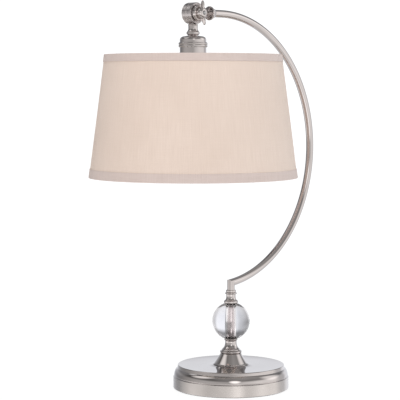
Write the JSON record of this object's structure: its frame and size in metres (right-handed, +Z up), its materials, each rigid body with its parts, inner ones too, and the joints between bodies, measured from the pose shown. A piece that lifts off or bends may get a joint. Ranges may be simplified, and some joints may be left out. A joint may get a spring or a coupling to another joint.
{
  "type": "table lamp",
  "caption": "Polished nickel table lamp with a round weighted base, a crystal ball, a bowed arm with a wing-nut tilt joint and a tapered linen drum shade.",
  "frame": {"origin": "middle of the felt pad's underside, on the post's axis, where the lamp rests on the table", "axes": "+Z up along the post; +X the way the arm bows out; the tilt bolt lies along Y and the head hangs on the +Y side of the arm"},
  "size_m": [0.4644, 0.3532, 0.6635],
  "materials": {
    "polished_nickel": "polished nickel plate, warm grey",
    "grooved_nickel": "nickel plate over fine turned grooves",
    "cast_iron": "as cast",
    "zinc_steel": "bright zinc plate",
    "felt": "black wool felt",
    "black_plastic": "moulded nylon",
    "clear_washer": "translucent soft washer",
    "crystal": "polished clear crystal",
    "dark_moulding": "dark phenolic moulding",
    "card": "insulating card",
    "brass": "bright brass",
    "bulb_glass": "frosted inside",
    "shade_wire": "white-grey painted wire",
    "linen": "pale beige slub linen on a stiff lining",
    "linen_trim": "folded self-linen tape"
  },
  "bodies": {
    "stand": {"base_pad": "felt", "base_weight": "cast_iron", "base_shell": "polished_nickel", "cord_bushing": "black_plastic", "threaded_rod": "zinc_steel", "rod_washer": "zinc_steel", "rod_nut": "zinc_steel", "base_bell": "polished_nickel", "bell_collar": "polished_nickel", "lower_ball_cup": "polished_nickel", "lower_ball_washer": "clear_washer", "crystal_ball": "crystal", "ball_sleeve": "polished_nickel", "upper_ball_washer": "clear_washer", "upper_ball_cup": "polished_nickel", "post_collar": "polished_nickel", "arm_tube": "polished_nickel", "arm_ferrule": "polished_nickel", "arm_eye": "polished_nickel"},
    "head": {"friction_washer": "clear_washer", "swivel_drum": "grooved_nickel", "drum_cap": "polished_nickel", "clamp_bolt": "zinc_steel", "socket_stem": "polished_nickel", "stem_locknut": "zinc_steel", "socket_cup": "polished_nickel", "socket_ring": "polished_nickel", "socket_liner": "card", "lampholder": "dark_moulding", "screw_shell": "brass", "centre_contact": "brass", "bulb_cap": "brass", "bulb_glass": "bulb_glass", "shade_ring": "dark_moulding", "shade_spider": "shade_wire", "shade_fabric": "linen", "shade_top_trim": "linen_trim", "shade_bottom_trim": "linen_trim", "shade_bottom_wire": "shade_wire"},
    "clamp_nut": {"wing_nut": "polished_nickel"},
    "switch": {"switch_knob": "dark_moulding"}
  },
  "joints": [
    {"name": "head_tilt", "type": "hinge", "parent": "stand", "child": "head", "pos_m": [-0.077, 0, 0.6429], "axis": [0, 1, 0], "range_deg": [-8, 40]},
    {"name": "wing_nut_turn", "type": "hinge", "parent": "head", "child": "clamp_nut", "pos_m": [-0.077, 0, 0.6429], "axis": [0, -1, 0], "range_deg": [0, 360]},
    {"name": "switch_turn", "type": "hinge", "parent": "head", "child": "switch", "pos_m": [-0.077, 0.015, 0.5589], "axis": [-1, 0, 0], "continuous": true}
  ]
}
